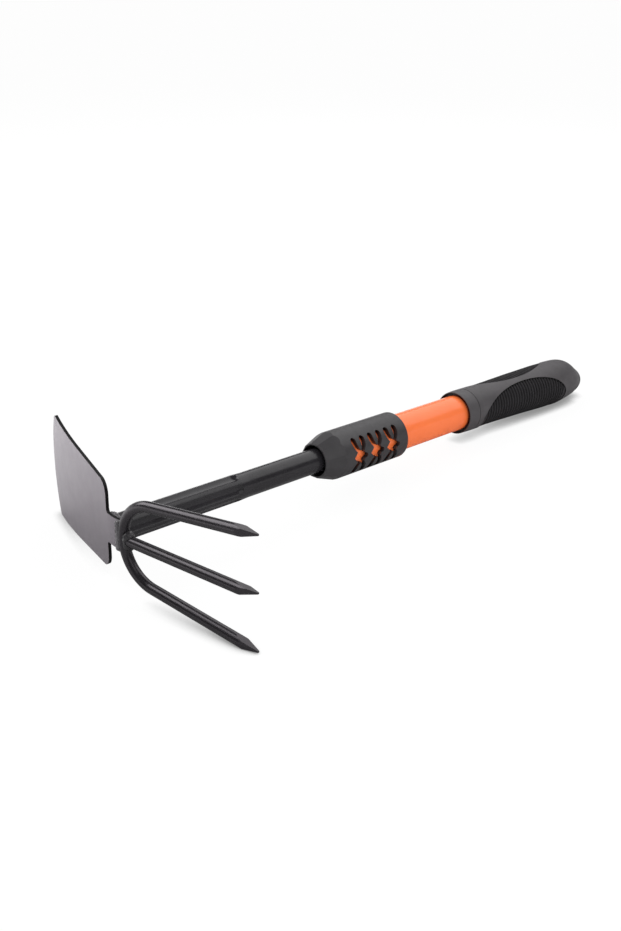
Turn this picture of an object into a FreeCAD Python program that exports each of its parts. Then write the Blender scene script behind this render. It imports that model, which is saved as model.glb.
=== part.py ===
import FreeCAD, Part
import math
import os
import Sketcher

# Double hoe: a hoe blade and a three-tine fork welded to the head of a fluted steel shank, which
# runs through a plastic collar into a painted handle tube with a ribbed grip.
# Tool frame: x runs along the handle from the head to the pommel, +y is the side of the blade,
# -y the side of the tines, and z is across the tool. Zero is where the shank's axis meets the head.
# The whole tool is then laid on the ground: it rests on a blade corner, a tine and the grip.

os.makedirs("parts", exist_ok=True)
doc = FreeCAD.newDocument("double_hoe")

SIZES = {
    # hoe blade
    "blade_length": 106.5,
    "blade_thickness": 1.9,
    "blade_edge_width": 63.6,
    "blade_edge_radius": 55.0,
    "blade_corner_radius": 4.0,
    "blade_root_width": 49.2,
    "blade_root_at": 5.5,
    "blade_shoulder_radius": 7.5,
    "blade_slant": 14.7,
    "blade_curl_start": 50.8,
    "blade_curl_radius": 480.0,
    "neck_width": 16.9,
    "neck_fillet": 2.0,
    "neck_face_to_axis": 2.38,
    "neck_bend_from": 5.0,
    "neck_bend_radius": 34.3,
    # fork
    "rod_diameter": 6.0,
    "fork_lean": 7.1,
    "fork_crown_flat": 0.7,
    "fork_bend_radius": 22.8,
    "fork_splay": 6.18,
    "fork_length": 92.9,
    "middle_tine_shift": 0.9,
    "middle_tip_rise": 1.6,
    "tip_length": 14.5,
    "tip_flat_length": 13.0,
    "tip_end_width": 0.9,
    "tip_end_thickness": 0.8,
    "crown_gap": 0.5,
    "crown_ahead": 1.9,
    # welds
    "ring_bead": 3.0,
    "valley_bead_width": 12.0,
    "valley_bead_diameter": 4.8,
    "end_bead_width": 17.5,
    "end_bead_diameter": 4.0,
    "butt_bead_width": 11.0,
    "butt_bead_diameter": 6.4,
    "bead_offset": 0.55,
    # shank
    "shank_diameter": 15.0,
    "shank_wall": 1.0,
    "shank_rib_rise": 0.3,
    "shank_rib_end": 88.0,
    "shank_rib_taper": 6.0,
    "flute_radius": 6.0,
    "flute_depth": 1.1,
    "flute_end": 84.5,
    "flute_clock": 44.0,
    "head_gap": 0.2,
    # collar
    "collar_front": 144.5,
    "collar_length": 69.2,
    "collar_diameter": 30.0,
    "collar_nose_length": 13.5,
    "collar_nose_diameter": 21.2,
    "collar_mouth_diameter": 19.8,
    "collar_seat_depth": 17.5,
    "collar_rear_fillet": 0.8,
    "collar_clock": 178.0,
    "window_pitch": 14.5,
    "window_row_from_rear": 28.7,
    "window_width": 12.4,
    "window_height": 21.8,
    # handle tube and what joins it to the shank
    "tube_diameter": 24.0,
    "tube_wall": 1.2,
    "tube_length": 235.0,
    "bush_flange": 3.0,
    "front_bush_length": 15.0,
    "rear_bush_length": 16.0,
    "pin_diameter": 4.0,
    "pin_from_collar_rear": 4.0,
    "slide_fit": 0.1,
    "pin_fit": 0.05,
    # grip
    "grip_bore_depth": 123.0,
    "pommel_length": 21.5,
    "grip_radius": 16.4,
    "grip_drop": 7.0,
    "grip_drop_clock": 244.0,
    "grip_mouth_depth": 2.5,
    "grip_mouth_gap": 2.0,
    "grip_ring_from_front": 10.5,
    "grip_ring_groove": 0.3,
    "pad_length": 96.5,
    "pad_from_front": 15.0,
    "pad_spread": 82.0,
    "pad_clock": 209.0,
    "pad_recess": 1.5,
    "pad_sink": 0.35,
    "pad_seam": 0.12,
    "pad_plain_end": 2.5,
    "rib_pitch": 2.86,
    "rib_depth": 0.6,
    "hole_diameter": 7.0,
    "hole_from_tube": 8.5,
    "hole_clock": 212.0,
    # one length by which every cutter runs past what it cuts
    "overrun": 5.0,
}

# Grip profile, front to pommel: share of the grip's length, of its radius, and of its drop.
GRIP_SHARES = [
    (0.000, 0.884, 0.000),
    (0.086, 0.902, 0.010),
    (0.176, 0.898, 0.015),
    (0.272, 0.912, 0.030),
    (0.374, 0.936, 0.048),
    (0.463, 0.954, 0.065),
    (0.552, 0.973, 0.105),
    (0.649, 0.994, 0.140),
    (0.728, 0.990, 0.165),
    (0.804, 0.952, 0.135),
    (0.872, 0.855, 0.185),
    (0.905, 0.735, 0.350),
    (0.935, 0.605, 0.490),
    (0.959, 0.495, 0.560),
    (0.979, 0.362, 0.575),
    (0.992, 0.230, 0.580),
    (0.998, 0.110, 0.580),
    (1.000, 0.037, 0.580),
]
# The hollow under the pads ends at this share of the grip's length.
PAD_BED_END_SHARE = 0.872
# Where the sections of a pad's oval outline stand, as shares of its half length.
PAD_STATION_SHARES = [0.0, 0.2, 0.4, 0.58, 0.74, 0.86, 0.94, 0.985]
PAD_CORE_RADIUS_SHARE = 2.0
HEAD_BLOCK_SHARE = 4
FLUTES = 6
NOSE_FACETS = 12
WINDOWS_IN_A_ROW = 3
HALF_TURN = 180
LAY_STEPS = 6
# Rib section: share of the pitch and of the rib's depth, over one pitch.
RIB_SHARES = [(0.00, 1.0), (0.20, 0.0), (0.58, 0.0), (0.78, 1.0)]
# Outline of a window: a cross of four bowed arms with a short bar through its middle. Points are
# shares of half its width and half its height, and radii are shares of half its height.
WINDOW_NUB_SHARES = (0.84, 0.13)
WINDOW_BAR_SHARES = (0.60, 0.16)
WINDOW_WAIST_SHARES = (0.45, 0.30)
WINDOW_ARM_SHARES = (0.91, 0.92)
WINDOW_TIP_SHARES = (0.27, 0.92)
WINDOW_NOTCH_SHARES = (0.0, 0.34)
WINDOW_POINT_SHARES = (0.93, 0.0)
WINDOW_NUB_RADIUS_SHARE = 0.16
WINDOW_OUTER_RADIUS_SHARE = 0.80
WINDOW_INNER_RADIUS_SHARE = 0.75
WINDOW_TIP_RADIUS_SHARE = 0.190

sheet = doc.addObject("Spreadsheet::Sheet", "sizes")
for row, (alias, size) in enumerate(SIZES.items(), start=1):
    sheet.set(f"A{row}", alias)
    sheet.set(f"B{row}", str(size))
    sheet.setAlias(f"B{row}", alias)
doc.recompute()


class Sheet:
    """The sheet's cells as plain numbers, for shapes and places that are worked out in code."""

    def __getattr__(self, alias):
        return float(sheet.get(alias))


sizes = Sheet()
X_AXIS = FreeCAD.Vector(1, 0, 0)
Y_AXIS = FreeCAD.Vector(0, 1, 0)
Z_AXIS = FreeCAD.Vector(0, 0, 1)


# Places along the tool, worked out from the sheet, as expressions for the features below.
COLLAR_REAR = "(sizes.collar_front + sizes.collar_length)"
BUSH_AT = "(sizes.collar_front + sizes.collar_seat_depth)"
TUBE_AT = f"({BUSH_AT} + sizes.bush_flange)"
TUBE_END = f"({TUBE_AT} + sizes.tube_length)"
GRIP_AT = f"({TUBE_END} - sizes.grip_bore_depth)"
PIN_AT = f"({COLLAR_REAR} - sizes.pin_from_collar_rear)"
SHANK_END = f"({PIN_AT} + sizes.rear_bush_length / 2)"
TUBE_INSIDE = "(sizes.tube_diameter / 2 - sizes.tube_wall)"
RIB_RADIUS = "(sizes.shank_diameter / 2 + sizes.shank_rib_rise)"


def number(expression):
    """The value of an expression on the sheet."""
    return float(sheet.evalExpression(expression))


def tie(target, **expressions):
    """Bind properties to expressions on the sheet."""
    for name, expression in expressions.items():
        target.setExpression(name, expression)


def add_body(name):
    body = doc.addObject("PartDesign::Body", name)
    body.Label = name
    return body


def origin_feature(body, role):
    return next(feature for feature in body.Origin.OriginFeatures if feature.Role == role)


def add_sketch(body, name, role, clock=None):
    """A sketch on an origin plane, which may be turned by a clock angle about its own x axis."""
    sketch = body.newObject("Sketcher::SketchObject", name)
    sketch.AttachmentSupport = (origin_feature(body, role), [""])
    sketch.MapMode = "FlatFace"
    if clock is not None:
        turn_sketch(sketch, X_AXIS, clock)
    return sketch


def turn_sketch(sketch, axis, angle):
    sketch.AttachmentOffset = FreeCAD.Placement(FreeCAD.Vector(), FreeCAD.Rotation(axis, 1))
    sketch.setExpression("AttachmentOffset.Rotation.Angle", angle)


def tie_point(sketch, edge, end, across, up):
    """Hold one end of an edge at a place given by two expressions."""
    for kind, axis, expression in (("DistanceX", -2, across), ("DistanceY", -1, up)):
        if expression == "0":
            sketch.addConstraint(Sketcher.Constraint("PointOnObject", edge, end, axis))
        else:
            place = number(expression)
            index = sketch.addConstraint(Sketcher.Constraint(kind, -1, 1, edge, end, place))
            sketch.setExpression(f"Constraints[{index}]", expression)


def arc_between(start, end, radius):
    """The short arc of a radius that runs anticlockwise from one point to the other."""
    chord = end - start
    left = FreeCAD.Vector(-chord.y, chord.x, 0).normalize()
    rise = math.sqrt(radius ** 2 - (chord.Length / 2) ** 2)
    crest = (start + end) / 2 + left * (rise - radius)
    return Part.Arc(start, crest, end)


def draw(sketch, corners, closed=True):
    """Draw an outline. A corner is (across, up), or (across, up, radius, side) if an arc leaves
    it: expressions, but for side, which is 1 if the arc's centre lies to the left, or -1."""
    points = [FreeCAD.Vector(number(corner[0]), number(corner[1]), 0) for corner in corners]
    count = len(corners) if closed else len(corners) - 1
    ends = []
    for index in range(count):
        start = points[index]
        end = points[(index + 1) % len(points)]
        corner = corners[index]
        vertices = (1, 2)
        if len(corner) == 2:
            edge = sketch.addGeometry(Part.LineSegment(start, end), False)
        elif corner[3] > 0:
            edge = sketch.addGeometry(arc_between(start, end, number(corner[2])), False)
        else:
            edge = sketch.addGeometry(arc_between(end, start, number(corner[2])), False)
            vertices = (2, 1)
        if len(corner) > 2:
            held = sketch.addConstraint(Sketcher.Constraint("Radius", edge, number(corner[2])))
            sketch.setExpression(f"Constraints[{held}]", corner[2])
        tie_point(sketch, edge, vertices[0], corner[0], corner[1])
        ends.append((edge, vertices))
    for (edge, vertices), (following, others) in zip(ends, ends[1:] + ends[:1]):
        if closed or following != ends[0][0]:
            join = Sketcher.Constraint("Coincident", edge, vertices[1], following, others[0])
            sketch.addConstraint(join)
    if not closed:
        edge, vertices = ends[-1]
        tie_point(sketch, edge, vertices[1], corners[-1][0], corners[-1][1])


def draw_circle(sketch, across, up, radius):
    """Draw a circle whose centre and radius are expressions."""
    centre = FreeCAD.Vector(number(across), number(up), 0)
    edge = sketch.addGeometry(Part.Circle(centre, Z_AXIS, number(radius)), False)
    tie_point(sketch, edge, 3, across, up)
    held = sketch.addConstraint(Sketcher.Constraint("Radius", edge, number(radius)))
    sketch.setExpression(f"Constraints[{held}]", radius)


def turned(body, name, corners):
    """A solid of revolution about the x axis, from (along, radius) corners."""
    sketch = add_sketch(body, f"{name}_profile", "XY_Plane")
    draw(sketch, corners)
    feature = body.newObject("PartDesign::Revolution", name)
    feature.Profile = sketch
    feature.ReferenceAxis = (sketch, ["H_Axis"])
    feature.Angle = 360
    return feature


def cut_through(body, name, sketch):
    """Cut a sketch through the body, both ways from its plane."""
    pocket = body.newObject("PartDesign::Pocket", name)
    pocket.Profile = sketch
    pocket.Type = "ThroughAll"
    pocket.SideType = "Symmetric"
    return pocket


def round_edges(body, name, places, radius):
    """Round the straight edges of the body that pass through the given places."""
    doc.recompute()
    base = body.Tip
    picked = []
    for index, edge in enumerate(base.Shape.Edges, start=1):
        for place in places:
            near = edge.distToShape(Part.Vertex(place))[0]
            if near < sizes.pin_fit:
                picked.append(f"Edge{index}")
                break
    fillet = body.newObject("PartDesign::Fillet", name)
    fillet.Base = (base, picked)
    tie(fillet, Radius=radius)
    return fillet


# Hoe blade. Its neck bends round the end of the shank, and from there its sheet runs straight down
# and then curls towards the grip.
def blade_face(along, offset):
    """Places on the straight run: expressions for x and y, offset from the outer face."""
    across = (f"(-sizes.neck_face_to_axis + {along} * sin(sizes.blade_slant)"
              f" + ({offset}) * cos(sizes.blade_slant))")
    up = f"({along} * cos(sizes.blade_slant) - ({offset}) * sin(sizes.blade_slant))"
    return across, up


BEND_RUN = "(sizes.neck_bend_from / cos(sizes.blade_slant))"
BEND_MIDDLE = blade_face(BEND_RUN, "sizes.neck_bend_radius")
NECK_REACH = "(sizes.shank_diameter / 2 + sizes.shank_rib_rise + sizes.slide_fit)"
NECK_SIN = f"(({BEND_MIDDLE[1]} + {NECK_REACH}) / sizes.neck_bend_radius)"
NECK_COS = f"sqrt(1 - {NECK_SIN} * {NECK_SIN})"
CURL_RUN = "(sizes.blade_curl_start / cos(sizes.blade_slant))"
EDGE_SIN = ("(sin(sizes.blade_slant) + (sizes.blade_length - sizes.blade_curl_start)"
            " / sizes.blade_curl_radius)")
EDGE_COS = f"sqrt(1 - {EDGE_SIN} * {EDGE_SIN})"


def curl_end(offset):
    """The end of the curl, offset from the outer face towards its centre."""
    start_x, start_y = blade_face(CURL_RUN, "0")
    across = (f"({start_x} + sizes.blade_curl_radius * (cos(sizes.blade_slant) - {EDGE_COS})"
              f" + ({offset}) * {EDGE_COS})")
    up = (f"({start_y} + sizes.blade_curl_radius * ({EDGE_SIN} - sin(sizes.blade_slant))"
          f" - ({offset}) * {EDGE_SIN})")
    return across, up


def neck_end(offset):
    """The end of the neck, offset from the outer face towards the shank."""
    radius = f"(sizes.neck_bend_radius - ({offset}))"
    across = f"({BEND_MIDDLE[0]} - {radius} * {NECK_COS})"
    up = f"({BEND_MIDDLE[1]} - {radius} * {NECK_SIN})"
    return across, up


def make_blade():
    body = add_body("hoe_blade")
    strip = add_sketch(body, "blade_strip", "XY_Plane")
    inner_radius = "(sizes.blade_curl_radius - sizes.blade_thickness)"
    neck_inner_radius = "(sizes.neck_bend_radius - sizes.blade_thickness)"
    draw(strip, [
        neck_end("0") + ("sizes.neck_bend_radius", -1),
        blade_face(BEND_RUN, "0"),
        blade_face(CURL_RUN, "0") + ("sizes.blade_curl_radius", -1),
        curl_end("0"),
        curl_end("sizes.blade_thickness") + (inner_radius, 1),
        blade_face(CURL_RUN, "sizes.blade_thickness"),
        blade_face(BEND_RUN, "sizes.blade_thickness") + (neck_inner_radius, 1),
        neck_end("sizes.blade_thickness"),
    ])
    pad = body.newObject("PartDesign::Pad", "blade_sheet")
    pad.Profile = strip
    pad.SideType = "Symmetric"
    tie(pad, Length="sizes.blade_edge_width + 2 * sizes.overrun")
    doc.recompute()

    # What lies outside the outline is cut away. The outline is drawn with y across and z up.
    outline = add_sketch(body, "blade_outline", "YZ_Plane")
    half_edge = "(sizes.blade_edge_width / 2)"
    half_root = "(sizes.blade_root_width / 2)"
    half_neck = "(sizes.neck_width / 2)"
    sagitta = f"(sizes.blade_edge_radius - sqrt(sizes.blade_edge_radius ^ 2 - {half_edge} ^ 2))"
    corner_at = f"(sizes.blade_length - {sagitta})"
    fillet_at = "(sizes.blade_root_at - sizes.neck_fillet)"
    beyond_neck = "(-(sizes.shank_diameter + sizes.rod_diameter))"
    draw(outline, [
        (beyond_neck, f"-{half_neck}"),
        (fillet_at, f"-{half_neck}", "sizes.neck_fillet", -1),
        ("sizes.blade_root_at", f"(-{half_neck} - sizes.neck_fillet)"),
        ("sizes.blade_root_at", f"-{half_root}"),
        (corner_at, f"-{half_edge}", "sizes.blade_edge_radius", 1),
        (corner_at, half_edge),
        ("sizes.blade_root_at", half_root),
        ("sizes.blade_root_at", f"({half_neck} + sizes.neck_fillet)", "sizes.neck_fillet", -1),
        (fillet_at, half_neck),
        (beyond_neck, half_neck),
    ])
    far = "(sizes.blade_length + 2 * sizes.overrun)"
    wide = "(sizes.blade_edge_width / 2 + 2 * sizes.overrun)"
    near = f"({beyond_neck} - 2 * sizes.overrun)"
    draw(outline, [(near, f"-{wide}"), (far, f"-{wide}"), (far, wide), (near, wide)])
    cut_through(body, "blade_trim", outline)

    sheet_x = number(blade_face("sizes.blade_root_at", "sizes.blade_thickness / 2")[0])
    root_y = sizes.blade_root_at
    edge_x = number(curl_end("sizes.blade_thickness / 2")[0])
    places = [FreeCAD.Vector(sheet_x, root_y, side * number(half_root)) for side in (-1, 1)]
    round_edges(body, "blade_shoulders", places, "sizes.blade_shoulder_radius")
    corner_y = number(corner_at)
    rise = (corner_y - sizes.blade_curl_start) / sizes.blade_curl_radius
    corner_sin = math.sin(math.radians(sizes.blade_slant)) + rise
    corner_cos = math.sqrt(1 - corner_sin ** 2)
    start_x = number(blade_face(CURL_RUN, "sizes.blade_thickness / 2")[0])
    cos_slant = math.cos(math.radians(sizes.blade_slant))
    mid_radius = sizes.blade_curl_radius - sizes.blade_thickness / 2
    corner_x = start_x + mid_radius * (cos_slant - corner_cos)
    places = [FreeCAD.Vector(corner_x, corner_y, side * number(half_edge)) for side in (-1, 1)]
    round_edges(body, "blade_corners", places, "sizes.blade_corner_radius")
    return body


# Fork: one rod bent into a U, and a straight one welded to its crown. Each is drawn in its own
# plane, with the crown at zero, the tines towards -y and x square to the plane.
BEND_OUT = "(sizes.fork_crown_flat / 2 + sizes.fork_bend_radius * cos(sizes.fork_splay))"
BEND_DOWN = "(sizes.fork_bend_radius * (1 - sin(sizes.fork_splay)))"
TIP_OUT = f"({BEND_OUT} + (sizes.fork_length - {BEND_DOWN}) * tan(sizes.fork_splay))"
ROD_RADIUS = "(sizes.rod_diameter / 2)"


def forge_tip(body, name, tip_out, splay, rise="0"):
    """Cut the four flat facets of a forged point, which may rise off the rod's own axis. Returns
    the two cuts."""
    cuts = []
    facets = (
        ("sides", "YZ_Plane", "sizes.tip_end_width / 2", "sizes.tip_length", rise),
        ("flats", "XY_Plane", "sizes.tip_end_thickness / 2", "sizes.tip_flat_length", "0"),
    )
    outside = f"({ROD_RADIUS} + {rise} + sizes.overrun)"
    for label, role, half_end, run, back in facets:
        sketch = add_sketch(body, f"{name}_{label}_outline", role)
        on_side_plane = role == "YZ_Plane"
        turn_sketch(sketch, Z_AXIS if on_side_plane else X_AXIS, f"-({splay})")
        across_base, up_base = ("x", "y") if on_side_plane else ("y", "z")
        sketch.setExpression(f"AttachmentOffset.Base.{across_base}", "-sizes.fork_length")
        sketch.setExpression(f"AttachmentOffset.Base.{up_base}", tip_out)
        for side in ("", "-"):
            corners = [
                ("-sizes.overrun", f"{side}({half_end})"),
                ("0", f"{side}({half_end})"),
                (run, f"({side}{ROD_RADIUS} - {back})"),
                (run, f"{side}{outside}"),
                ("-sizes.overrun", f"{side}{outside}"),
            ]
            if not on_side_plane:
                corners = [(up, across) for across, up in corners]
            draw(sketch, corners)
        cuts.append(cut_through(body, f"{name}_{label}", sketch))
    return cuts


def make_fork():
    body = add_body("fork_rod")
    path = add_sketch(body, "fork_path", "YZ_Plane")
    draw(path, [
        ("0", "0"),
        ("0", "sizes.fork_crown_flat / 2", "sizes.fork_bend_radius", 1),
        (f"-{BEND_DOWN}", BEND_OUT),
        ("-sizes.fork_length", TIP_OUT),
    ], closed=False)
    section = add_sketch(body, "fork_section", "XY_Plane")
    draw_circle(section, "0", "0", ROD_RADIUS)
    half = body.newObject("PartDesign::AdditivePipe", "fork_half")
    half.Profile = section
    half.Spine = path
    doc.recompute()
    cuts = forge_tip(body, "outer_tip", TIP_OUT, "sizes.fork_splay")
    whole = body.newObject("PartDesign::Mirrored", "fork_whole")
    whole.Originals = [half] + cuts
    whole.MirrorPlane = (origin_feature(body, "XY_Plane"), [""])
    body.Tip = whole
    return body


def make_middle_tine():
    body = add_body("middle_tine")
    section = add_sketch(body, "tine_section", "XZ_Plane")
    draw_circle(section, "0", "-sizes.middle_tine_shift", ROD_RADIUS)
    rod = body.newObject("PartDesign::Pad", "tine_rod")
    rod.Profile = section
    tie(rod, Length="sizes.fork_length")
    doc.recompute()
    # The butt end is cut back to clear the crown.
    butt = add_sketch(body, "tine_butt", "YZ_Plane")
    clear = f"({ROD_RADIUS} + sizes.slide_fit)"
    wide = f"({ROD_RADIUS} + sizes.middle_tine_shift + sizes.overrun)"
    draw(butt, [
        (f"-{clear}", f"-{wide}"),
        ("sizes.overrun", f"-{wide}"),
        ("sizes.overrun", wide),
        (f"-{clear}", wide),
    ])
    cut_through(body, "tine_butt_cut", butt)
    tip_out = "(sizes.middle_tip_rise - sizes.middle_tine_shift)"
    forge_tip(body, "middle_tip", tip_out, "0", "sizes.middle_tip_rise")
    return body


def fork_placement():
    """The fork's plane leans towards the grip, with the crown just clear of the shank."""
    down = sizes.shank_diameter / 2 + sizes.shank_rib_rise + sizes.crown_gap + sizes.rod_diameter / 2
    place = FreeCAD.Vector(-sizes.crown_ahead, -down, 0)
    return FreeCAD.Placement(place, FreeCAD.Rotation(Z_AXIS, sizes.fork_lean))


# Shank: a tube with flutes pressed into it, so its bore follows them at the wall's thickness.
def make_fluted_rod(name, inset):
    """A solid rod with the shank's outer form, made smaller all over by the inset."""
    body = add_body(name)
    start = "(-sizes.shank_diameter)"
    plain = f"(sizes.shank_diameter / 2 - {inset})"
    ribbed = f"({RIB_RADIUS} - {inset})"
    turned(body, f"{name}_rod", [
        (start, "0"),
        (start, ribbed),
        ("sizes.shank_rib_end - sizes.shank_rib_taper", ribbed),
        ("sizes.shank_rib_end", plain),
        (SHANK_END, plain),
        (SHANK_END, "0"),
    ])
    doc.recompute()
    profile = add_sketch(body, f"{name}_flute_profile", "XY_Plane", "sizes.flute_clock")
    axis_up = "(sizes.shank_diameter / 2 - sizes.flute_depth + sizes.flute_radius)"
    radius = f"(sizes.flute_radius + {inset})"
    round_at = "(sizes.flute_end - sizes.flute_radius)"
    begin = f"({start} - sizes.overrun)"
    draw(profile, [
        (begin, axis_up),
        (begin, f"({axis_up} - {radius})"),
        (round_at, f"({axis_up} - {radius})", radius, 1),
        (f"({round_at} + {radius})", axis_up),
    ])
    flute = body.newObject("PartDesign::Groove", f"{name}_flute")
    flute.Profile = profile
    flute.ReferenceAxis = (profile, ["Edge4"])
    flute.Angle = 360
    doc.recompute()
    flutes = body.newObject("PartDesign::PolarPattern", f"{name}_flutes")
    flutes.Originals = [flute]
    flutes.Axis = (origin_feature(body, "X_Axis"), [""])
    flutes.Angle = 360
    flutes.Occurrences = FLUTES
    body.Tip = flutes
    return body


def cut(name, base, tool):
    feature = doc.addObject("Part::Cut", name)
    feature.Label = name
    feature.Base = base
    feature.Tool = tool
    return feature


def make_head_block():
    """A block whose far face stands just clear of the blade's neck, to trim the shank's end."""
    body = add_body("head_block")
    size = f"({HEAD_BLOCK_SHARE} * sizes.shank_diameter)"
    clear = "(sizes.blade_thickness + sizes.head_gap)"
    section = add_sketch(body, "head_block_section", "XY_Plane")
    draw(section, [
        neck_end(clear) + (f"(sizes.neck_bend_radius - {clear})", -1),
        blade_face(BEND_RUN, clear),
        blade_face(size, clear),
        (f"-{size}", blade_face(size, clear)[1]),
        (f"-{size}", f"-{size}"),
        (neck_end(clear)[0], f"-{size}"),
    ])
    block = body.newObject("PartDesign::Pad", "head_block_pad")
    block.Profile = section
    block.SideType = "Symmetric"
    tie(block, Length=size)
    return body


def make_shank():
    outside = make_fluted_rod("shank_outside", "0")
    inside = make_fluted_rod("shank_inside", "sizes.shank_wall")
    tube = cut("shank_drawn", outside, inside)
    mitred = cut("shank_mitred", tube, make_head_block())
    return cut("shank_tube", mitred, make_pin_rod("pin_drill", "sizes.pin_fit"))


# What joins the shank to the handle tube.
def make_pin_rod(name, grow):
    body = add_body(name)
    section = add_sketch(body, f"{name}_section", "XY_Plane")
    draw_circle(section, PIN_AT, "0", f"sizes.pin_diameter / 2 + {grow}")
    rod = body.newObject("PartDesign::Pad", f"{name}_rod")
    rod.Profile = section
    rod.SideType = "Symmetric"
    tie(rod, Length="sizes.tube_diameter - sizes.tube_wall")
    return body


def drill_for_pin(body, name):
    doc.recompute()
    section = add_sketch(body, f"{name}_section", "XY_Plane")
    draw_circle(section, PIN_AT, "0", "sizes.pin_diameter / 2 + sizes.pin_fit")
    return cut_through(body, name, section)


BUSH_BORE = "(sizes.shank_diameter / 2 + sizes.slide_fit)"
BUSH_RADIUS = f"({TUBE_INSIDE} - sizes.slide_fit)"


def make_front_bush():
    body = add_body("front_bush")
    end = f"({TUBE_AT} + sizes.front_bush_length)"
    turned(body, "front_bush_body", [
        (BUSH_AT, BUSH_BORE),
        (BUSH_AT, "sizes.tube_diameter / 2"),
        (TUBE_AT, "sizes.tube_diameter / 2"),
        (TUBE_AT, BUSH_RADIUS),
        (end, BUSH_RADIUS),
        (end, BUSH_BORE),
    ])
    return body


def make_rear_bush():
    body = add_body("rear_bush")
    begin = f"({PIN_AT} - sizes.rear_bush_length / 2)"
    turned(body, "rear_bush_body", [
        (begin, BUSH_BORE),
        (begin, BUSH_RADIUS),
        (SHANK_END, BUSH_RADIUS),
        (SHANK_END, BUSH_BORE),
    ])
    drill_for_pin(body, "rear_bush_hole")
    return body


def make_handle_tube():
    body = add_body("handle_tube")
    turned(body, "handle_tube_wall", [
        (TUBE_AT, TUBE_INSIDE),
        (TUBE_AT, "sizes.tube_diameter / 2"),
        (TUBE_END, "sizes.tube_diameter / 2"),
        (TUBE_END, TUBE_INSIDE),
    ])
    drill_for_pin(body, "handle_tube_hole")
    return body


# Collar: a moulding over the tube's end, with flat facets round its nose and rows of windows.
def window_corner(shares, right, up):
    """A corner of the window in the quarter given by the signs of right and up."""
    across = f"({WINDOW_MIDDLE} + {right * shares[0]} * sizes.window_width / 2)"
    if shares[1] == 0:
        return across, "0"
    return across, f"({up * shares[1]} * sizes.window_height / 2)"


WINDOW_MIDDLE = f"({COLLAR_REAR} - sizes.window_row_from_rear - sizes.window_pitch)"


def window_outline():
    """The outline, anticlockwise from the nub at the right of the bar."""
    radii = {
        "nub": f"({WINDOW_NUB_RADIUS_SHARE} * sizes.window_height / 2)",
        "outer": f"({WINDOW_OUTER_RADIUS_SHARE} * sizes.window_height / 2)",
        "inner": f"({WINDOW_INNER_RADIUS_SHARE} * sizes.window_height / 2)",
        "tip": f"({WINDOW_TIP_RADIUS_SHARE} * sizes.window_height / 2)",
    }
    return [
        window_corner(WINDOW_NUB_SHARES, 1, -1) + (radii["nub"], 1),
        window_corner(WINDOW_NUB_SHARES, 1, 1),
        window_corner(WINDOW_BAR_SHARES, 1, 1),
        window_corner(WINDOW_WAIST_SHARES, 1, 1) + (radii["outer"], 1),
        window_corner(WINDOW_ARM_SHARES, 1, 1) + (radii["tip"], 1),
        window_corner(WINDOW_TIP_SHARES, 1, 1) + (radii["inner"], -1),
        window_corner(WINDOW_NOTCH_SHARES, 1, 1) + (radii["inner"], -1),
        window_corner(WINDOW_TIP_SHARES, -1, 1) + (radii["tip"], 1),
        window_corner(WINDOW_ARM_SHARES, -1, 1) + (radii["outer"], 1),
        window_corner(WINDOW_WAIST_SHARES, -1, 1),
        window_corner(WINDOW_POINT_SHARES, -1, 1),
        window_corner(WINDOW_WAIST_SHARES, -1, -1) + (radii["outer"], 1),
        window_corner(WINDOW_ARM_SHARES, -1, -1) + (radii["tip"], 1),
        window_corner(WINDOW_TIP_SHARES, -1, -1) + (radii["inner"], -1),
        window_corner(WINDOW_NOTCH_SHARES, 1, -1) + (radii["inner"], -1),
        window_corner(WINDOW_TIP_SHARES, 1, -1) + (radii["tip"], 1),
        window_corner(WINDOW_ARM_SHARES, 1, -1) + (radii["outer"], 1),
        window_corner(WINDOW_WAIST_SHARES, 1, -1),
        window_corner(WINDOW_BAR_SHARES, 1, -1),
    ]


def make_collar():
    body = add_body("collar")
    radius = "(sizes.collar_diameter / 2)"
    mouth = "(sizes.collar_mouth_diameter / 2)"
    seat = "(sizes.tube_diameter / 2 + sizes.slide_fit)"
    fillet = "sizes.collar_rear_fillet"
    turned(body, "collar_body", [
        ("sizes.collar_front", mouth),
        ("sizes.collar_front", radius),
        (f"({COLLAR_REAR} - {fillet})", radius, fillet, -1),
        (COLLAR_REAR, f"({radius} - {fillet})"),
        (COLLAR_REAR, seat),
        (BUSH_AT, seat),
        (BUSH_AT, mouth),
    ])
    doc.recompute()

    facet_outline = add_sketch(body, "nose_facet_outline", "XY_Plane", "sizes.collar_clock")
    nose_end = "(sizes.collar_front + sizes.collar_nose_length)"
    before = "(sizes.collar_front - sizes.overrun)"
    lip = "(sizes.collar_nose_diameter / 2)"
    draw(facet_outline, [
        (before, lip),
        ("sizes.collar_front", lip),
        (nose_end, radius),
        (nose_end, f"({radius} + sizes.overrun)"),
        (before, f"({radius} + sizes.overrun)"),
    ])
    facet = cut_through(body, "nose_facet", facet_outline)
    doc.recompute()
    facets = body.newObject("PartDesign::PolarPattern", "nose_facets")
    facets.Originals = [facet]
    facets.Axis = (origin_feature(body, "X_Axis"), [""])
    facets.Angle = 360
    facets.Occurrences = NOSE_FACETS
    body.Tip = facets
    doc.recompute()

    window_sketch = add_sketch(body, "window_outline", "XZ_Plane", "sizes.collar_clock")
    draw(window_sketch, window_outline())
    window = cut_through(body, "window", window_sketch)
    doc.recompute()
    windows = body.newObject("PartDesign::LinearPattern", "windows")
    windows.Originals = [window]
    windows.Direction = (origin_feature(body, "X_Axis"), [""])
    tie(windows, Length=f"{WINDOWS_IN_A_ROW - 1} * sizes.window_pitch")
    windows.Occurrences = WINDOWS_IN_A_ROW
    body.Tip = windows
    return body


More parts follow.
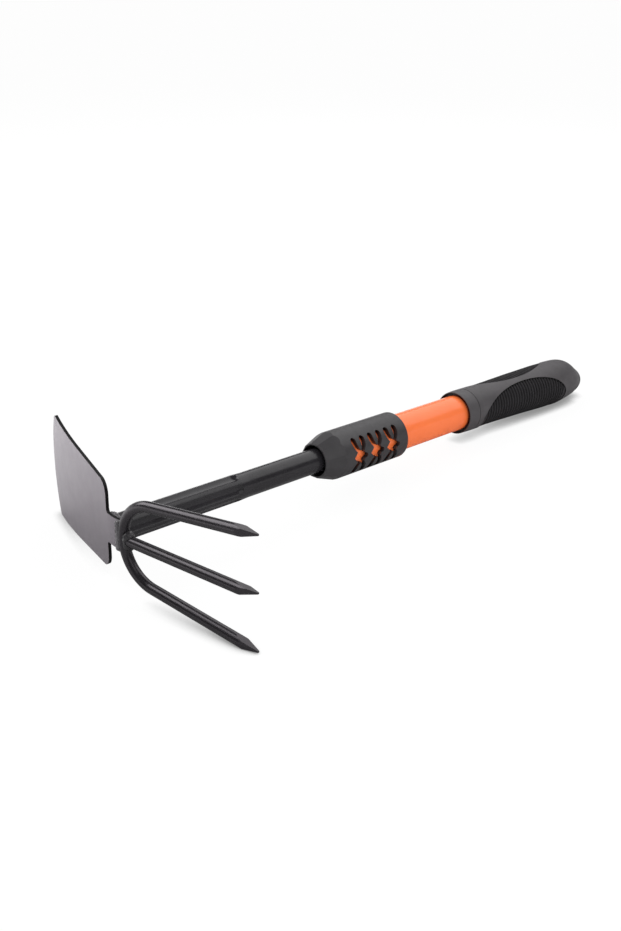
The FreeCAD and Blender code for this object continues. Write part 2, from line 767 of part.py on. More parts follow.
# Grip: a moulding round the tube's end that swells towards the pommel and droops at its tip, with
# a ribbed pad let into each side.
def around(angle, radius, along):
    """A place at a clock angle and a radius about the tool's axis."""
    turn = math.radians(angle)
    return FreeCAD.Vector(along, radius * math.cos(turn), radius * math.sin(turn))


def grip_length():
    return sizes.grip_bore_depth + sizes.pommel_length


def grip_form(along):
    """Radius and drop of the grip at a place along the tool."""
    share = (along - number(GRIP_AT)) / grip_length()
    for (a, a_radius, a_drop), (b, b_radius, b_drop) in zip(GRIP_SHARES, GRIP_SHARES[1:]):
        if share <= b:
            part = (share - a) / (b - a)
            radius = a_radius + (b_radius - a_radius) * part
            drop = a_drop + (b_drop - a_drop) * part
            return radius * sizes.grip_radius, drop * sizes.grip_drop
    raise ValueError("a place beyond the pommel")


def grip_circle(along, inset):
    radius, drop = grip_form(along)
    middle = around(sizes.grip_drop_clock, drop, along)
    return Part.Wire(Part.makeCircle(radius - inset, middle, X_AXIS))


def grip_loft(inset, last_share):
    """A smooth solid inside the grip's skin, from its front to a share of its length."""
    front = number(GRIP_AT)
    stations = [share for share, _, _ in GRIP_SHARES if share <= last_share]
    circles = [grip_circle(front + share * grip_length(), inset) for share in stations]
    return Part.makeLoft(circles, True, False)


def pad_wedge(clock, seam):
    """All that lies under a pad's oval outline, from the axis to well outside the grip."""
    half_length = sizes.pad_length / 2 - seam
    spread = sizes.pad_spread - math.degrees(seam / sizes.grip_radius)
    middle = number(GRIP_AT) + sizes.pad_from_front + sizes.pad_length / 2
    outside = PAD_CORE_RADIUS_SHARE * sizes.grip_radius
    shares = [-share for share in reversed(PAD_STATION_SHARES[1:])] + PAD_STATION_SHARES
    sections = []
    for share in shares:
        along = middle + share * half_length
        angle = spread * math.sqrt(1 - share ** 2)
        low = around(clock - angle, outside, along)
        crest = around(clock, outside, along)
        high = around(clock + angle, outside, along)
        axis = FreeCAD.Vector(along, 0, 0)
        edges = [
            Part.LineSegment(axis, low).toShape(),
            Part.Arc(low, crest, high).toShape(),
            Part.LineSegment(high, axis).toShape(),
        ]
        sections.append(Part.Wire(edges))
    return Part.makeLoft(sections, True, False)


def ribbed_core():
    """A solid of revolution, all but its drop, whose skin carries the pads' ribs."""
    start = number(GRIP_AT) + sizes.pad_from_front
    ribbed = sizes.pad_length - 2 * sizes.pad_plain_end
    count = int(ribbed / sizes.rib_pitch)
    first = start + (sizes.pad_length - count * sizes.rib_pitch) / 2
    circles = [grip_circle(start - sizes.overrun, sizes.pad_sink)]
    for rib in range(count):
        for share, depth_share in RIB_SHARES:
            along = first + (rib + share) * sizes.rib_pitch
            depth = (1 - depth_share) * sizes.rib_depth
            circles.append(grip_circle(along, sizes.pad_sink + depth))
    circles.append(grip_circle(start + sizes.pad_length + sizes.overrun, sizes.pad_sink))
    return Part.makeLoft(circles, True, True)


def make_pad(name, clock, floor, ribs):
    pad = doc.addObject("Part::Feature", name)
    pad.Label = name
    pad.Shape = ribs.common(pad_wedge(clock, sizes.pad_seam)).cut(floor)
    return pad


def hanging_hole_axis():
    """The middle and the direction of the hole through the pommel."""
    along = number(TUBE_END) + sizes.hole_from_tube
    _, drop = grip_form(along)
    return around(sizes.grip_drop_clock, drop, along), around(sizes.hole_clock, 1, 0)


def make_grip(floor):
    front = number(GRIP_AT)
    tube_radius = sizes.tube_diameter / 2
    shape = grip_loft(0, 1.0)
    bore_length = sizes.grip_bore_depth + sizes.slide_fit
    origin = FreeCAD.Vector(front - sizes.overrun, 0, 0)
    bore = Part.makeCylinder(tube_radius + sizes.slide_fit, bore_length + sizes.overrun, origin, X_AXIS)
    mouth_radius = tube_radius + sizes.grip_mouth_gap
    mouth_length = sizes.grip_mouth_depth + sizes.overrun
    mouth = Part.makeCylinder(mouth_radius, mouth_length, origin, X_AXIS)
    ring_at = front + sizes.grip_ring_from_front
    ring_radius, ring_drop = grip_form(ring_at)
    ring_middle = around(sizes.grip_drop_clock, ring_drop, ring_at)
    ring = Part.makeTorus(ring_radius, sizes.grip_ring_groove, ring_middle, X_AXIS)
    shape = shape.cut(bore.fuse(mouth)).cut(ring)
    for clock in (sizes.pad_clock, sizes.pad_clock + HALF_TURN):
        shape = shape.cut(pad_wedge(clock, 0).cut(floor))
    middle, direction = hanging_hole_axis()
    reach = 2 * sizes.grip_radius
    start = middle - direction * reach
    hole = Part.makeCylinder(sizes.hole_diameter / 2, 2 * reach, start, direction)
    shape = shape.cut(hole)
    grip = doc.addObject("Part::Feature", "grip_body")
    grip.Label = "grip_body"
    grip.Shape = shape
    return grip


# Welds: beads of filler, cut to fit what they join.
def trim_to(name, bead, neighbours):
    """Cut the neighbours out of a bead, one after the other."""
    for neighbour in neighbours[:-1]:
        bead = cut(f"{name}_clear_of_{neighbour.Label}", bead, neighbour)
    return cut(name, bead, neighbours[-1])


def add_lump(name, place, width, diameter):
    """A round bead with rounded ends that lies across the tool."""
    body = add_body(name)
    radius = f"({diameter} / 2)"
    half = f"({width} / 2)"
    turned(body, f"{name}_form", [
        (f"-{half}", "0", radius, -1),
        (f"({radius} - {half})", radius),
        (f"({half} - {radius})", radius, radius, -1),
        (half, "0"),
    ])
    across_the_tool = FreeCAD.Rotation(X_AXIS, Z_AXIS)
    body.Placement = place.multiply(FreeCAD.Placement(FreeCAD.Vector(), across_the_tool))
    return body


def fuse(name, base, tool):
    both = doc.addObject("Part::Fuse", name)
    both.Base = base
    both.Tool = tool
    return both


def make_head_weld(lay):
    """A ring round the end of the shank, filler between the shank and the crown, and a bead
    along the end of the blade's neck."""
    clear = "(sizes.blade_thickness + sizes.head_gap)"
    rim = blade_face(f"({RIB_RADIUS} / cos(sizes.blade_slant))", clear)
    low, high = [FreeCAD.Vector(number(x), number(y), 0) for x, y in (neck_end(clear), rim)]
    square_to_neck = FreeCAD.Rotation(X_AXIS, (high - low).cross(Z_AXIS))
    along_the_tool = FreeCAD.Rotation(Z_AXIS, X_AXIS)
    ring_place = FreeCAD.Placement((low + high) / 2, square_to_neck.multiply(along_the_tool))
    ring = doc.addObject("Part::Torus", "neck_ring")
    tie(ring, Radius1=RIB_RADIUS, Radius2="sizes.ring_bead / 2")
    ring.Placement = lay.multiply(ring_place)
    valley = FreeCAD.Vector(sizes.bead_offset, -number(RIB_RADIUS), 0)
    filler = add_lump(
        "crown_filler", lay.multiply(FreeCAD.Placement(valley, FreeCAD.Rotation())),
        "sizes.valley_bead_width", "sizes.valley_bead_diameter",
    )
    corner_x, corner_y = [number(place) for place in neck_end("0")]
    end = FreeCAD.Vector(corner_x - sizes.bead_offset, corner_y, 0)
    end_bead = add_lump(
        "neck_end_bead", lay.multiply(FreeCAD.Placement(end, FreeCAD.Rotation())),
        "sizes.end_bead_width", "sizes.end_bead_diameter",
    )
    filler = fuse("head_filler", fuse("shank_filler", ring, filler), end_bead)
    return trim_to("head_weld", filler, [blade, shank, fork])


def make_tine_weld(lay):
    """A lumpy bead round the butt end of the middle tine."""
    down = sizes.rod_diameter / 2 + sizes.bead_offset
    butt = FreeCAD.Vector(0, -down, -sizes.middle_tine_shift)
    place = fork_placement().multiply(FreeCAD.Placement(butt, FreeCAD.Rotation()))
    bead = add_lump(
        "butt_bead", lay.multiply(place),
        "sizes.butt_bead_width", "sizes.butt_bead_diameter",
    )
    return trim_to("tine_weld", bead, [fork, middle])


def lowest(shape):
    return shape.optimalBoundingBox(False, False).ZMin


def lay_placement(blade, fork, grip):
    """The tool's rest: a corner of the blade, the lower tine and the grip are on the ground."""
    tilt = 0.0
    roll = 0.0
    grip_reach = number(TUBE_END)
    head_span = sizes.blade_length + sizes.fork_length
    for _ in range(LAY_STEPS):
        turn = FreeCAD.Rotation(Y_AXIS, tilt).multiply(FreeCAD.Rotation(X_AXIS, roll))
        moved = []
        for shape in (blade, fork, grip):
            copy = shape.copy()
            copy.Placement = FreeCAD.Placement(FreeCAD.Vector(), turn).multiply(shape.Placement)
            moved.append(lowest(copy))
        blade_low, fork_low, grip_low = moved
        tilt += math.degrees(math.atan2(grip_low - (blade_low + fork_low) / 2, grip_reach))
        roll += math.degrees(math.atan2(fork_low - blade_low, head_span))
    print("lay: tilt", round(tilt, 3), "roll", round(roll, 3), "lows", [round(low, 4) for low in moved])
    return FreeCAD.Placement(FreeCAD.Vector(), turn)


blade = make_blade()
fork = make_fork()
middle = make_middle_tine()
shank = make_shank()
front_bush = make_front_bush()
rear_bush = make_rear_bush()
pin = make_pin_rod("cross_pin", "0")
tube = make_handle_tube()
collar = make_collar()
doc.recompute()
for body in (fork, middle):
    body.Placement = fork_placement()
floor = grip_loft(sizes.pad_recess, PAD_BED_END_SHARE)
pad_bed = grip_loft(sizes.pad_recess - sizes.slide_fit, PAD_BED_END_SHARE)
grip = make_grip(floor)
ribs = ribbed_core()
finger_pad = make_pad("finger_pad", sizes.pad_clock, pad_bed, ribs)
palm_pad = make_pad("palm_pad", sizes.pad_clock + HALF_TURN, pad_bed, ribs)
doc.recompute()

nodes = [
    blade, fork, middle, shank, front_bush, rear_bush, pin, tube, collar, grip, finger_pad, palm_pad,
]

# The origin is at the middle of the laid tool's box, on the ground.
lay = lay_placement(blade.Shape, fork.Shape, grip.Shape)
laid = Part.makeCompound([node.Shape for node in nodes])
laid.Placement = lay
box = laid.optimalBoundingBox(False, False)
lay.Base = FreeCAD.Vector(-(box.XMin + box.XMax) / 2, -(box.YMin + box.YMax) / 2, -box.ZMin)
for node in nodes:
    node.Placement = lay.multiply(node.Placement)
doc.recompute()
nodes += [make_head_weld(lay), make_tine_weld(lay)]
doc.recompute()

for thing in doc.Objects:
    if "Invalid" in thing.State or "Error" in thing.State:
        raise RuntimeError(f"{thing.Label} failed: {thing.State}")
for node in nodes:
    if node.Shape.isNull() or not node.Shape.isValid():
        raise RuntimeError(f"{node.Label} has no valid shape")
for node in nodes:
    node.Shape.exportStep(f"parts/{node.Label}.step")
    bounds = node.Shape.optimalBoundingBox(True, False)
    corners = (bounds.XMin, bounds.XMax, bounds.YMin, bounds.YMax, bounds.ZMin, bounds.ZMax)
    print(
        node.Label, len(node.Shape.Solids), "solids", round(node.Shape.Volume, 1), "mm3",
        len(node.Shape.Faces), "faces", [round(corner, 1) for corner in corners],
    )

# The hanging hole's wall, measured along its own axis.
hole_middle, hole_direction = hanging_hole_axis()
level = FreeCAD.Placement(hole_middle, FreeCAD.Rotation(X_AXIS, hole_direction)).inverse()
walls = [face.copy() for face in grip.Shape.Faces if face.Surface.TypeId == "Part::GeomCylinder"]
walls = [face for face in walls if abs(face.Surface.Radius - sizes.hole_diameter / 2) < sizes.pin_fit]
for wall in walls:
    wall.Placement = level.multiply(lay.inverse()).multiply(wall.Placement)
wall_box = Part.makeCompound(walls).optimalBoundingBox(False, False)
wall_middle = hole_middle + hole_direction * (wall_box.XMin + wall_box.XMax) / 2
print("hanging hole: middle", lay.multVec(wall_middle), "along", lay.Rotation.multVec(hole_direction),
      "through", round(wall_box.XLength, 3))
print("lay:", lay.Base, lay.Rotation.toEuler())
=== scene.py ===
import math

import bpy
from mathutils import Matrix, Vector


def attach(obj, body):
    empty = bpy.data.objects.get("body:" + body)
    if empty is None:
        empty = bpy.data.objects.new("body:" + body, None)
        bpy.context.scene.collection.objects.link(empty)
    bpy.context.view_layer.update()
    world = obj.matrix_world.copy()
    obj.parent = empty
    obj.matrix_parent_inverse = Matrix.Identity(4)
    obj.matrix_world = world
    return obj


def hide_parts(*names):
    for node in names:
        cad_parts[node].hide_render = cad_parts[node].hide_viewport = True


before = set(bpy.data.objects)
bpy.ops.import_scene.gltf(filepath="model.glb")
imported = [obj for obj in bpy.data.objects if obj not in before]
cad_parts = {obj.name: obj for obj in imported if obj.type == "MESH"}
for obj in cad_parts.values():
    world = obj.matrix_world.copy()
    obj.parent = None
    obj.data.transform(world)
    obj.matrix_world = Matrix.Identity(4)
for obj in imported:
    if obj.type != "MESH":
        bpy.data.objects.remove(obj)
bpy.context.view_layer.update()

# Double hoe laid on a white studio floor. X runs from the head to the pommel, Y towards the blade.
MM = 0.001

# Camera, worked out from the photograph: a 621 by 931 frame with its centre at the optical axis.
FRAME_WIDTH_PX = 621
FOCAL_PX = 1100.0
SENSOR_WIDTH = 36.0
CLIP_START = 10 * MM
CAMERA_PLACE = Vector((-484.81146, -446.07794, 293.06157)) * MM
CAMERA_RIGHT = Vector((0.7241627, -0.68948621, -0.01404093))
CAMERA_UP = Vector((0.28683986, 0.28262569, 0.91533907))
CAMERA_FORWARD = Vector((0.62714534, 0.66688191, -0.40243911))

# Light. A lamp is its direction from the tool, the way its width runs, its size in metres and its
# radiance, and it hangs at one distance.
LAMP_DISTANCE = 1.6
LAMPS = {
    "key_strip": ((-0.35, 0.667, 0.658), (0.947, 0.0, 0.32), (1.0, 1.3), 3.1),
    "right_box": ((0.66, 0.12, 0.72), (0.0, 1.0, -0.1), (2.6, 1.1), 1.25),
    "front_fill": ((-0.1, -0.72, 0.69), (1.0, 0.0, 0.14), (1.5, 1.3), 0.7),
}
# The sky fills from both ends of the tool. Gloss sees it white up to the horizon, and dark above.
SKY_FILL_HEAD = 0.45
SKY_FILL_POMMEL = 0.9
SKY_SEEN = 0.98
SKY_DARK = 0.06
HORIZON_LOW = 0.02
HORIZON_HIGH = 0.12

# Floor: a lit white sheet under a glow that only the eye sees, with a painted shadow where the tool touches
# it.
FLOOR_SIZE = 40.0
FLOOR_SHADE = 0.93
FLOOR_ROUGHNESS = 0.9
FLOOR_GLOW_SHARE = 0.93
FLOOR_GLOW = 1.01
CONTACT_REACH = 9 * MM
CONTACT_GLOW = 0.3
CONTACT_SHUT = 0.3
CONTACT_CLEAR = 0.85
# Painted shade on the floor that only gloss sees, dim towards the tines' side.
DIM_FROM = 0.0
DIM_TO = 0.24
DIM_SHADE = 0.3

# Each finish runs in patches between a dark and a light shade.
BLADE_SHADES = ((0.295, 0.267, 0.298), (0.325, 0.296, 0.328))
ROD_SHADES = ((0.010, 0.009, 0.0108), (0.016, 0.0143, 0.017))
# Painted light: the head bead's shades are a lighter copy of the tine bead's weld colour.
HEAD_BEAD_PAINTED_LIGHT_SHADES = ((0.06, 0.056, 0.061), (0.16, 0.153, 0.163))
TINE_BEAD_SHADES = ((0.012, 0.011, 0.0125), (0.05, 0.047, 0.051))
SHANK_SHADES = ((0.017, 0.0155, 0.018), (0.023, 0.0215, 0.025))
ORANGE_SHADES = ((0.98, 0.195, 0.052), (1.0, 0.21, 0.058))
COLLAR_SHADES = ((0.039, 0.0365, 0.0395), (0.048, 0.045, 0.0485))
GRIP_SHADES = ((0.067, 0.062, 0.066), (0.08, 0.0735, 0.079))
PAD_SHADES = ((0.028, 0.026, 0.0285), (0.036, 0.0335, 0.0365))
BUSH_SHADES = ((0.03, 0.03, 0.03), (0.045, 0.045, 0.045))
ZINC_SHADES = ((0.5, 0.51, 0.53), (0.66, 0.67, 0.69))

# Painted shade in crevices and recesses: its colour, the reach within which openness is judged, and
# the openness at which the painted shade is full and at which it has gone.
PLASTIC_PAINTED_SHADE = ((0.003, 0.003, 0.003), 5 * MM, 0.25, 0.7)
ORANGE_PAINTED_SHADE = ((0.09, 0.004, 0.002), 6 * MM, 0.12, 0.5)
PAD_PAINTED_SHADE = ((0.0025, 0.0025, 0.0025), 1.6 * MM, 0.76, 1.0)
OPENNESS_SAMPLES = 8

# The part of a noise's range that is spread over a finish.
NOISE_LOW = 0.3
NOISE_HIGH = 0.7

# The mean way that the blade's faces look, the cosines to it below which a surface is a cut edge and
# above which it is a face, and the near-black painted shade that the edges get.
PLATE_NORMAL = (0.955, -0.29, 0.04)
PLATE_EDGE_BELOW = 0.45
PLATE_FACE_ABOVE = 0.75
EDGE_PAINTED_SHADE = (0.012, 0.011, 0.012)

# Welds: the beads remeshed, and pushed in and out into the lumps that a weld run leaves.
WELD_VOXEL = 0.28 * MM
WELD_LUMP = 1.5 * MM
WELD_LUMP_LAYERS = 2
WELD_DEPTH = 0.8 * MM
WELD_MIDDLE = 0.35


def map_range(tree, value, low, high, start, end):
    """A node that maps a value from start..end to low..high."""
    node = tree.nodes.new("ShaderNodeMapRange")
    tree.links.new(value, node.inputs["Value"])
    ends = {"From Min": start, "From Max": end, "To Min": low, "To Max": high}
    for socket, number in ends.items():
        node.inputs[socket].default_value = number
    return node


def is_ray(tree, *kinds):
    """One where a ray is of any of the kinds."""
    ray = tree.nodes.new("ShaderNodeLightPath")
    total = ray.outputs[kinds[0]]
    for kind in kinds[1:]:
        join = tree.nodes.new("ShaderNodeMath")
        join.operation = "MAXIMUM"
        tree.links.new(total, join.inputs[0])
        tree.links.new(ray.outputs[kind], join.inputs[1])
        total = join.outputs["Value"]
    return total


class Shader:
    """A material's node tree, with short calls for the nodes that the materials here share."""

    def __init__(self, name):
        self.material = bpy.data.materials.new(name)
        self.material.use_nodes = True
        self.tree = self.material.node_tree
        self.surface = self.tree.nodes["Principled BSDF"]
        self.place = self.add("ShaderNodeTexCoord").outputs["Object"]

    def add(self, kind):
        return self.tree.nodes.new(kind)

    def link(self, start, end):
        self.tree.links.new(start, end)

    def put(self, socket, value):
        """Set a socket of the surface shader."""
        self.surface.inputs[socket].default_value = value

    def noise(self, feature, detail=3.0):
        """Noise whose lumps are about one feature across, in metres."""
        node = self.add("ShaderNodeTexNoise")
        node.inputs["Scale"].default_value = 1 / feature
        node.inputs["Detail"].default_value = detail
        self.link(self.place, node.inputs["Vector"])
        return node.outputs["Fac"]

    def waves(self, feature, depth, detail=3.0):
        """A layer for bump: the noise of a feature, and how deep it goes."""
        return self.noise(feature, detail), depth

    def spread(self, value, low, high, start=NOISE_LOW, end=NOISE_HIGH):
        """Map a noise, or another value, to a range of numbers."""
        return map_range(self.tree, value, low, high, start, end).outputs["Result"]

    def blend(self, value, low, high):
        """Mix two colours by a value."""
        node = self.add("ShaderNodeValToRGB")
        self.link(value, node.inputs["Fac"])
        node.color_ramp.elements[0].color = (*low, 1)
        node.color_ramp.elements[1].color = (*high, 1)
        return node.outputs["Color"]

    def mix(self, value, low, high):
        """Mix two colours by a value, each plain or from a node."""
        node = self.add("ShaderNodeMix")
        node.data_type = "RGBA"
        self.link(value, node.inputs["Factor"])
        for socket, colour in (("A", low), ("B", high)):
            target = next(entry for entry in node.inputs if entry.name == socket and entry.type == "RGBA")
            if isinstance(colour, tuple):
                target.default_value = (*colour, 1)
            else:
                self.link(colour, target)
        return next(entry for entry in node.outputs if entry.type == "RGBA")

    def openness(self, reach, shut, clear, low=0, high=1):
        """Low in crevices and high in the open, judged within a reach."""
        node = self.add("ShaderNodeAmbientOcclusion")
        node.samples = OPENNESS_SAMPLES
        node.inputs["Distance"].default_value = reach
        return self.spread(node.outputs["AO"], low, high, start=shut, end=clear)

    def facing(self, way, low, high):
        """One where the surface faces a way of the object or its opposite, and zero across it."""
        node = self.add("ShaderNodeVectorMath")
        node.operation = "DOT_PRODUCT"
        self.link(self.add("ShaderNodeTexCoord").outputs["Normal"], node.inputs[0])
        node.inputs[1].default_value = way
        size = self.add("ShaderNodeMath")
        size.operation = "ABSOLUTE"
        self.link(node.outputs["Value"], size.inputs[0])
        return self.spread(size.outputs["Value"], 0, 1, start=low, end=high)

    def tone(self, shades, patch, detail=3.0):
        """A colour that runs between two shades in patches."""
        return self.blend(self.spread(self.noise(patch, detail), 0, 1), *shades)

    def colour(self, tone, painted_shade=None):
        """Colour the surface, down to a painted shade in crevices."""
        if painted_shade is not None:
            shade_colour, reach, shut, clear = painted_shade
            # Painted shade: the base colour darkens where the surface is closed in.
            tone = self.mix(self.openness(reach, shut, clear), shade_colour, tone)
        self.link(tone, self.surface.inputs["Base Color"])

    def rough(self, gloss, patch, detail=3.0):
        """Roughness that runs over a span in patches."""
        self.link(self.spread(self.noise(patch, detail), *gloss), self.surface.inputs["Roughness"])

    def bump(self, *layers, edge=0.0):
        """Bump from (height, depth) layers, the finest first, over edges rounded by a radius."""
        normal = None
        if edge > 0:
            rounding = self.add("ShaderNodeBevel")
            rounding.inputs["Radius"].default_value = edge
            normal = rounding.outputs["Normal"]
        for height, depth in layers:
            node = self.add("ShaderNodeBump")
            node.inputs["Distance"].default_value = depth
            self.link(height, node.inputs["Height"])
            if normal is not None:
                self.link(normal, node.inputs["Normal"])
            normal = node.outputs["Normal"]
        self.link(normal, self.surface.inputs["Normal"])


def enamel(name, shades, gloss, peel):
    """Black enamel with a faint orange peel of a depth, a sixth as deep in its grain, and thin
    dusty patches."""
    shader = Shader(name)
    shader.colour(shader.tone(shades, patch=14 * MM, detail=5))
    shader.rough(gloss, patch=5 * MM, detail=6)
    grain = shader.waves(0.5 * MM, depth=peel / 6)
    shader.bump(grain, shader.waves(2.6 * MM, depth=peel, detail=2))
    return shader


def moulded(name, shades, gloss, painted_shade=PLASTIC_PAINTED_SHADE):
    """Matt moulded plastic with a spark-eroded grain over waves half as deep, painted shade in crevices."""
    shader = Shader(name)
    shader.colour(shader.tone(shades, patch=9 * MM, detail=6), painted_shade)
    shader.rough(gloss, patch=2 * MM, detail=5)
    grain = shader.waves(0.3 * MM, depth=0.012 * MM, detail=1)
    shader.bump(grain, shader.waves(1.6 * MM, depth=0.006 * MM), edge=0.2 * MM)
    return shader


def blade_coat():
    """Dark satin coat with a metallic lustre over rolled steel, and painted shade in black on the cut edges.
    """
    shader = Shader("blade_coat")
    shader.put("Metallic", 0.75)
    # Painted shade: surfaces that turn away from the faces' way take a near-black colour.
    on_face = shader.facing(PLATE_NORMAL, PLATE_EDGE_BELOW, PLATE_FACE_ABOVE)
    shader.colour(shader.mix(on_face, EDGE_PAINTED_SHADE, shader.tone(BLADE_SHADES, patch=16 * MM)))
    shader.rough(gloss=(0.34, 0.4), patch=6 * MM, detail=6)
    grain = shader.waves(0.6 * MM, depth=0.001 * MM)
    shader.bump(grain, shader.waves(9 * MM, depth=0.004 * MM), edge=0.35 * MM)
    return shader.material


def rod_coat():
    """Thick glossy enamel on the fork's rods, with a faintly purple shine."""
    shader = enamel("rod_coat", ROD_SHADES, gloss=(0.24, 0.32), peel=0.003 * MM)
    shader.put("Specular Tint", (1.0, 0.93, 1.0, 1.0))
    shader.put("Specular IOR Level", 0.75)
    return shader.material


def weld_coat(name, shades):
    return enamel(name, shades, gloss=(0.22, 0.3), peel=0.05 * MM).material


def shank_coat():
    return enamel("tube_coat", SHANK_SHADES, gloss=(0.2, 0.28), peel=0.003 * MM).material


def orange_coat():
    """Orange enamel, dark red where the collar and the grip shade it."""
    shader = Shader("orange_coat")
    # Painted shade: dark red where the collar and the grip close the tube in.
    shader.colour(shader.tone(ORANGE_SHADES, patch=18 * MM), ORANGE_PAINTED_SHADE)
    shader.rough(gloss=(0.2, 0.26), patch=4 * MM)
    shader.bump(shader.waves(2.5 * MM, depth=0.008 * MM, detail=2), edge=0.2 * MM)
    return shader.material


def collar_plastic():
    return moulded("collar_plastic", COLLAR_SHADES, gloss=(0.37, 0.48)).material


def grip_plastic():
    return moulded("grip_plastic", GRIP_SHADES, gloss=(0.41, 0.52)).material


def pad_rubber():
    """Soft rubber with hardly any shine, and painted shade in black between its ribs."""
    # Painted shade: the base colour goes black in the grooves between the ribs.
    shader = moulded("pad_rubber", PAD_SHADES, gloss=(0.5, 0.61), painted_shade=PAD_PAINTED_SHADE)
    shader.put("Specular IOR Level", 0.15)
    return shader.material


def bush_plastic():
    return moulded("bush_plastic", BUSH_SHADES, gloss=(0.45, 0.56)).material


def zinc():
    """Bright zinc plating with fine spangles."""
    shader = Shader("zinc")
    shader.put("Metallic", 1.0)
    shader.colour(shader.tone(ZINC_SHADES, patch=1.5 * MM))
    shader.rough(gloss=(0.25, 0.42), patch=0.8 * MM)
    return shader.material


def dress(material, *nodes):
    """Give CAD nodes a material."""
    for name in nodes:
        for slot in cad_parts[name].material_slots:
            slot.material = material


head_bead = weld_coat("head_bead", HEAD_BEAD_PAINTED_LIGHT_SHADES)
tine_bead = weld_coat("tine_bead", TINE_BEAD_SHADES)
dress(blade_coat(), "hoe_blade")
dress(rod_coat(), "fork_rod", "middle_tine")
dress(head_bead, "head_weld")
dress(tine_bead, "tine_weld")
dress(shank_coat(), "shank_tube")
dress(orange_coat(), "handle_tube")
dress(collar_plastic(), "collar")
dress(grip_plastic(), "grip_body")
dress(pad_rubber(), "finger_pad", "palm_pad")
dress(bush_plastic(), "front_bush", "rear_bush")
dress(zinc(), "cross_pin")


def lumpy_weld(node, coat):
    """A weld run over a CAD bead, which it replaces."""
    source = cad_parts[node]
    piece = bpy.data.objects.new(f"{node}_run", source.data.copy())
    bpy.context.scene.collection.objects.link(piece)
    remesh = piece.modifiers.new("grain", "REMESH")
    remesh.mode = "VOXEL"
    remesh.voxel_size = WELD_VOXEL
    remesh.use_smooth_shade = True
    clouds = bpy.data.textures.new(f"{node}_lumps", "CLOUDS")
    clouds.noise_scale = WELD_LUMP
    clouds.noise_depth = WELD_LUMP_LAYERS
    displace = piece.modifiers.new("lumps", "DISPLACE")
    displace.texture = clouds
    displace.texture_coords = "LOCAL"
    displace.strength = WELD_DEPTH
    displace.mid_level = WELD_MIDDLE
    piece.material_slots[0].material = coat
    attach(piece, "root")
    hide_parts(node)


lumpy_weld("head_weld", head_bead)
lumpy_weld("tine_weld", tine_bead)


def floor_paper():
    """White paper under a glow for the eye: painted shadow at contacts, and painted shade seen by gloss."""
    shader = Shader("floor_paper")
    split = shader.add("ShaderNodeSeparateXYZ")
    shader.link(shader.place, split.inputs["Vector"])
    # Painted shade: to glossy rays the floor darkens towards the tines' side.
    dim = shader.spread(split.outputs["Y"], 0, 1, start=DIM_FROM, end=DIM_TO)
    white = (FLOOR_SHADE,) * 3
    to_gloss = shader.blend(dim, (DIM_SHADE,) * 3, white)
    shader.colour(shader.mix(is_ray(shader.tree, "Is Glossy Ray"), white, to_gloss))
    shader.put("Roughness", FLOOR_ROUGHNESS)
    shader.put("Specular IOR Level", 0.0)
    glow = shader.add("ShaderNodeEmission")
    # Painted shadow: the glow's strength falls where the tool closes the floor in.
    strength = shader.openness(CONTACT_REACH, CONTACT_SHUT, CONTACT_CLEAR, low=CONTACT_GLOW, high=FLOOR_GLOW)
    shader.link(strength, glow.inputs["Strength"])
    share = shader.add("ShaderNodeMath")
    share.operation = "MULTIPLY"
    shader.link(is_ray(shader.tree, "Is Camera Ray", "Is Transmission Ray"), share.inputs[0])
    share.inputs[1].default_value = FLOOR_GLOW_SHARE
    mix = shader.add("ShaderNodeMixShader")
    shader.link(share.outputs["Value"], mix.inputs["Fac"])
    shader.link(shader.surface.outputs["BSDF"], mix.inputs[1])
    shader.link(glow.outputs["Emission"], mix.inputs[2])
    shader.link(mix.outputs["Shader"], shader.tree.nodes["Material Output"].inputs["Surface"])
    return shader.material


def make_floor():
    half = FLOOR_SIZE / 2
    corners = [(-half, -half, 0), (half, -half, 0), (half, half, 0), (-half, half, 0)]
    mesh = bpy.data.meshes.new("floor")
    mesh.from_pydata(corners, [], [range(len(corners))])
    mesh.materials.append(floor_paper())
    floor = bpy.data.objects.new("floor", mesh)
    bpy.context.scene.collection.objects.link(floor)


def choose(tree, choice, plain, chosen):
    """The plain strength of light, or the chosen one where the choice is one."""
    node = tree.nodes.new("ShaderNodeMix")
    tree.links.new(choice, node.inputs["Factor"])
    tree.links.new(plain, node.inputs["A"])
    if isinstance(chosen, float):
        node.inputs["B"].default_value = chosen
    else:
        tree.links.new(chosen, node.inputs["B"])
    return node.outputs["Result"]


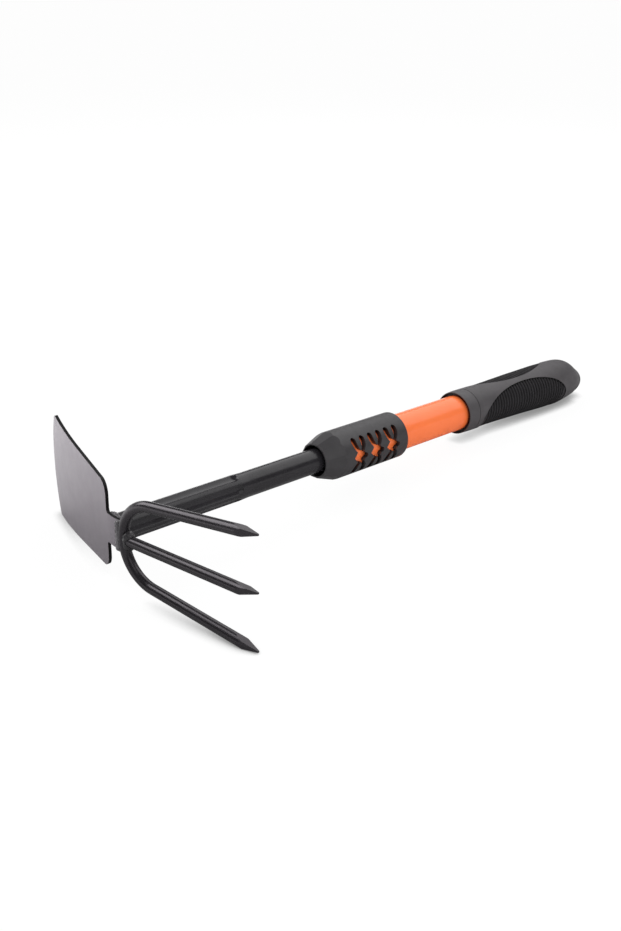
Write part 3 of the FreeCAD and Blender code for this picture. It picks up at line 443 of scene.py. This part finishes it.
def make_sky():
    """The surroundings: white to the eye, a plain fill for light, and to gloss a dark studio above a
    white horizon. Rays through glass count as the eye's."""
    world = bpy.data.worlds.new("studio")
    bpy.context.scene.world = world
    world.use_nodes = True
    tree = world.node_tree
    way = tree.nodes.new("ShaderNodeSeparateXYZ")
    tree.links.new(tree.nodes.new("ShaderNodeTexCoord").outputs["Generated"], way.inputs["Vector"])
    fill = map_range(tree, way.outputs["X"], SKY_FILL_HEAD, SKY_FILL_POMMEL, start=-1, end=1)
    horizon = map_range(tree, way.outputs["Z"], SKY_SEEN, SKY_DARK, start=HORIZON_LOW, end=HORIZON_HIGH)
    horizon.interpolation_type = "SMOOTHSTEP"
    to_gloss = is_ray(tree, "Is Glossy Ray")
    to_eye = is_ray(tree, "Is Camera Ray", "Is Transmission Ray")
    lit = choose(tree, to_gloss, fill.outputs["Result"], horizon.outputs["Result"])
    background = tree.nodes["Background"]
    tree.links.new(choose(tree, to_eye, lit, SKY_SEEN), background.inputs["Strength"])
    background.inputs["Color"].default_value = (1, 1, 1, 1)


def add_lamp(name, direction, across, size, radiance):
    """A soft box that faces the tool, with its width along the given way."""
    away = Vector(direction).normalized()
    up = away.cross(Vector(across)).normalized()
    axes = Matrix((up.cross(away), up, away)).transposed()
    lamp = bpy.data.lights.new(name, "AREA")
    lamp.shape = "RECTANGLE"
    lamp.size, lamp.size_y = size
    lamp.energy = radiance * math.pi * size[0] * size[1]
    holder = bpy.data.objects.new(name, lamp)
    holder.matrix_world = Matrix.Translation(away * LAMP_DISTANCE) @ axes.to_4x4()
    holder.visible_camera = False
    bpy.context.scene.collection.objects.link(holder)


def make_camera():
    lens = bpy.data.cameras.new("camera")
    lens.sensor_fit = "HORIZONTAL"
    lens.sensor_width = SENSOR_WIDTH
    lens.lens = FOCAL_PX / FRAME_WIDTH_PX * SENSOR_WIDTH
    lens.clip_start = CLIP_START
    camera = bpy.data.objects.new("camera", lens)
    axes = Matrix((CAMERA_RIGHT, CAMERA_UP, -CAMERA_FORWARD)).transposed()
    camera.matrix_world = Matrix.Translation(CAMERA_PLACE) @ axes.to_4x4()
    bpy.context.scene.collection.objects.link(camera)
    bpy.context.scene.camera = camera


make_floor()
make_sky()
for name, (direction, across, size, radiance) in LAMPS.items():
    add_lamp(name, direction, across, size, radiance)
make_camera()
bpy.context.scene.view_settings.view_transform = "Standard"
